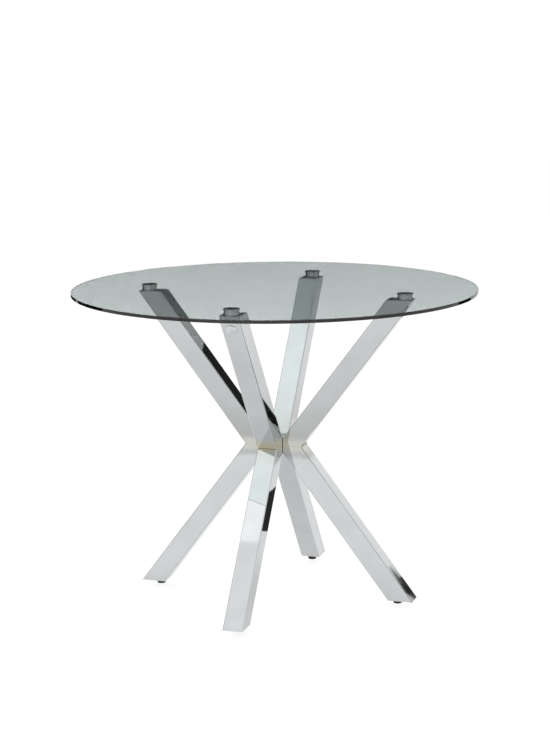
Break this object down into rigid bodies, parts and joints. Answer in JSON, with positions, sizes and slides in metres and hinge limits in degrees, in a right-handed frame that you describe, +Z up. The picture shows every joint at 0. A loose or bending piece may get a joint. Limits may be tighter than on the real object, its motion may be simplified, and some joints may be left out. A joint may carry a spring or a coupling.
{
  "type": "round glass dining table",
  "caption": "Fixed round dining table: a clear glass disc bolted through round pads to chromed square-tube chevron legs that meet at a hub, on levelling glides.",
  "frame": {"origin": "on the floor under the middle of the glass top", "axes": "+Z up; the right leg reaches along +X, the back leg along +Y, the left leg along -X and the front leg along -Y"},
  "size_m": [0.9999, 1, 0.78],
  "materials": {
    "clear_glass": "clear toughened glass with a slight grey-green tint and polished edge",
    "chrome": "bright chrome plate on steel",
    "black_plastic": "moulded, matte",
    "zinc_steel": "zinc plated"
  },
  "bodies": {
    "table": {"glass_top": "clear_glass", "hub_tube": "chrome", "hub_top_cap": "chrome", "hub_bottom_cap": "chrome", "hub_bolts": "zinc_steel", "hub_washers": "zinc_steel", "pad_bolts": "zinc_steel", "pad_washers": "zinc_steel", "foot_nuts": "zinc_steel", "right_upper_tube": "chrome", "right_lower_tube": "chrome", "right_glass_disc": "chrome", "right_pad_collar": "chrome", "right_access_cap": "chrome", "right_top_plate": "chrome", "right_foot_plate": "chrome", "right_apex_plate": "zinc_steel", "back_upper_tube": "chrome", "back_lower_tube": "chrome", "back_glass_disc": "chrome", "back_pad_collar": "chrome", "back_access_cap": "chrome", "back_top_plate": "chrome", "back_foot_plate": "chrome", "back_apex_plate": "zinc_steel", "left_upper_tube": "chrome", "left_lower_tube": "chrome", "left_glass_disc": "chrome", "left_pad_collar": "chrome", "left_access_cap": "chrome", "left_top_plate": "chrome", "left_foot_plate": "chrome", "left_apex_plate": "zinc_steel", "front_upper_tube": "chrome", "front_lower_tube": "chrome", "front_glass_disc": "chrome", "front_pad_collar": "chrome", "front_access_cap": "chrome", "front_top_plate": "chrome", "front_foot_plate": "chrome", "front_apex_plate": "zinc_steel"},
    "right_glide": {"right_glide_base": "black_plastic"},
    "right_stud": {"right_glide_stud": "zinc_steel"},
    "back_glide": {"back_glide_base": "black_plastic"},
    "back_stud": {"back_glide_stud": "zinc_steel"},
    "left_glide": {"left_glide_base": "black_plastic"},
    "left_stud": {"left_glide_stud": "zinc_steel"},
    "front_glide": {"front_glide_base": "black_plastic"},
    "front_stud": {"front_glide_stud": "zinc_steel"}
  },
  "joints": [
    {"name": "right_glide_lift", "type": "slide", "parent": "table", "child": "right_glide", "axis": [0, 0, -1], "range_m": [0, 0.01]},
    {"name": "right_stud_turn", "type": "hinge", "parent": "right_glide", "child": "right_stud", "pos_m": [0.31403, 0, 0], "axis": [0, 0, -1], "range_deg": [0, 2880]},
    {"name": "back_glide_lift", "type": "slide", "parent": "table", "child": "back_glide", "axis": [0, 0, -1], "range_m": [0, 0.01]},
    {"name": "back_stud_turn", "type": "hinge", "parent": "back_glide", "child": "back_stud", "pos_m": [0, 0.31403, 0], "axis": [0, 0, -1], "range_deg": [0, 2880]},
    {"name": "left_glide_lift", "type": "slide", "parent": "table", "child": "left_glide", "axis": [0, 0, -1], "range_m": [0, 0.01]},
    {"name": "left_stud_turn", "type": "hinge", "parent": "left_glide", "child": "left_stud", "pos_m": [-0.31403, 0, 0], "axis": [0, 0, -1], "range_deg": [0, 2880]},
    {"name": "front_glide_lift", "type": "slide", "parent": "table", "child": "front_glide", "axis": [0, 0, -1], "range_m": [0, 0.01]},
    {"name": "front_stud_turn", "type": "hinge", "parent": "front_glide", "child": "front_stud", "pos_m": [0, -0.31403, 0], "axis": [0, 0, -1], "range_deg": [0, 2880]}
  ],
  "couplings": [
    {"joint": "right_stud_turn", "follows": "right_glide_lift", "rad_per_m": 5026.5},
    {"joint": "back_stud_turn", "follows": "back_glide_lift", "rad_per_m": 5026.5},
    {"joint": "left_stud_turn", "follows": "left_glide_lift", "rad_per_m": 5026.5},
    {"joint": "front_stud_turn", "follows": "front_glide_lift", "rad_per_m": 5026.5}
  ]
}
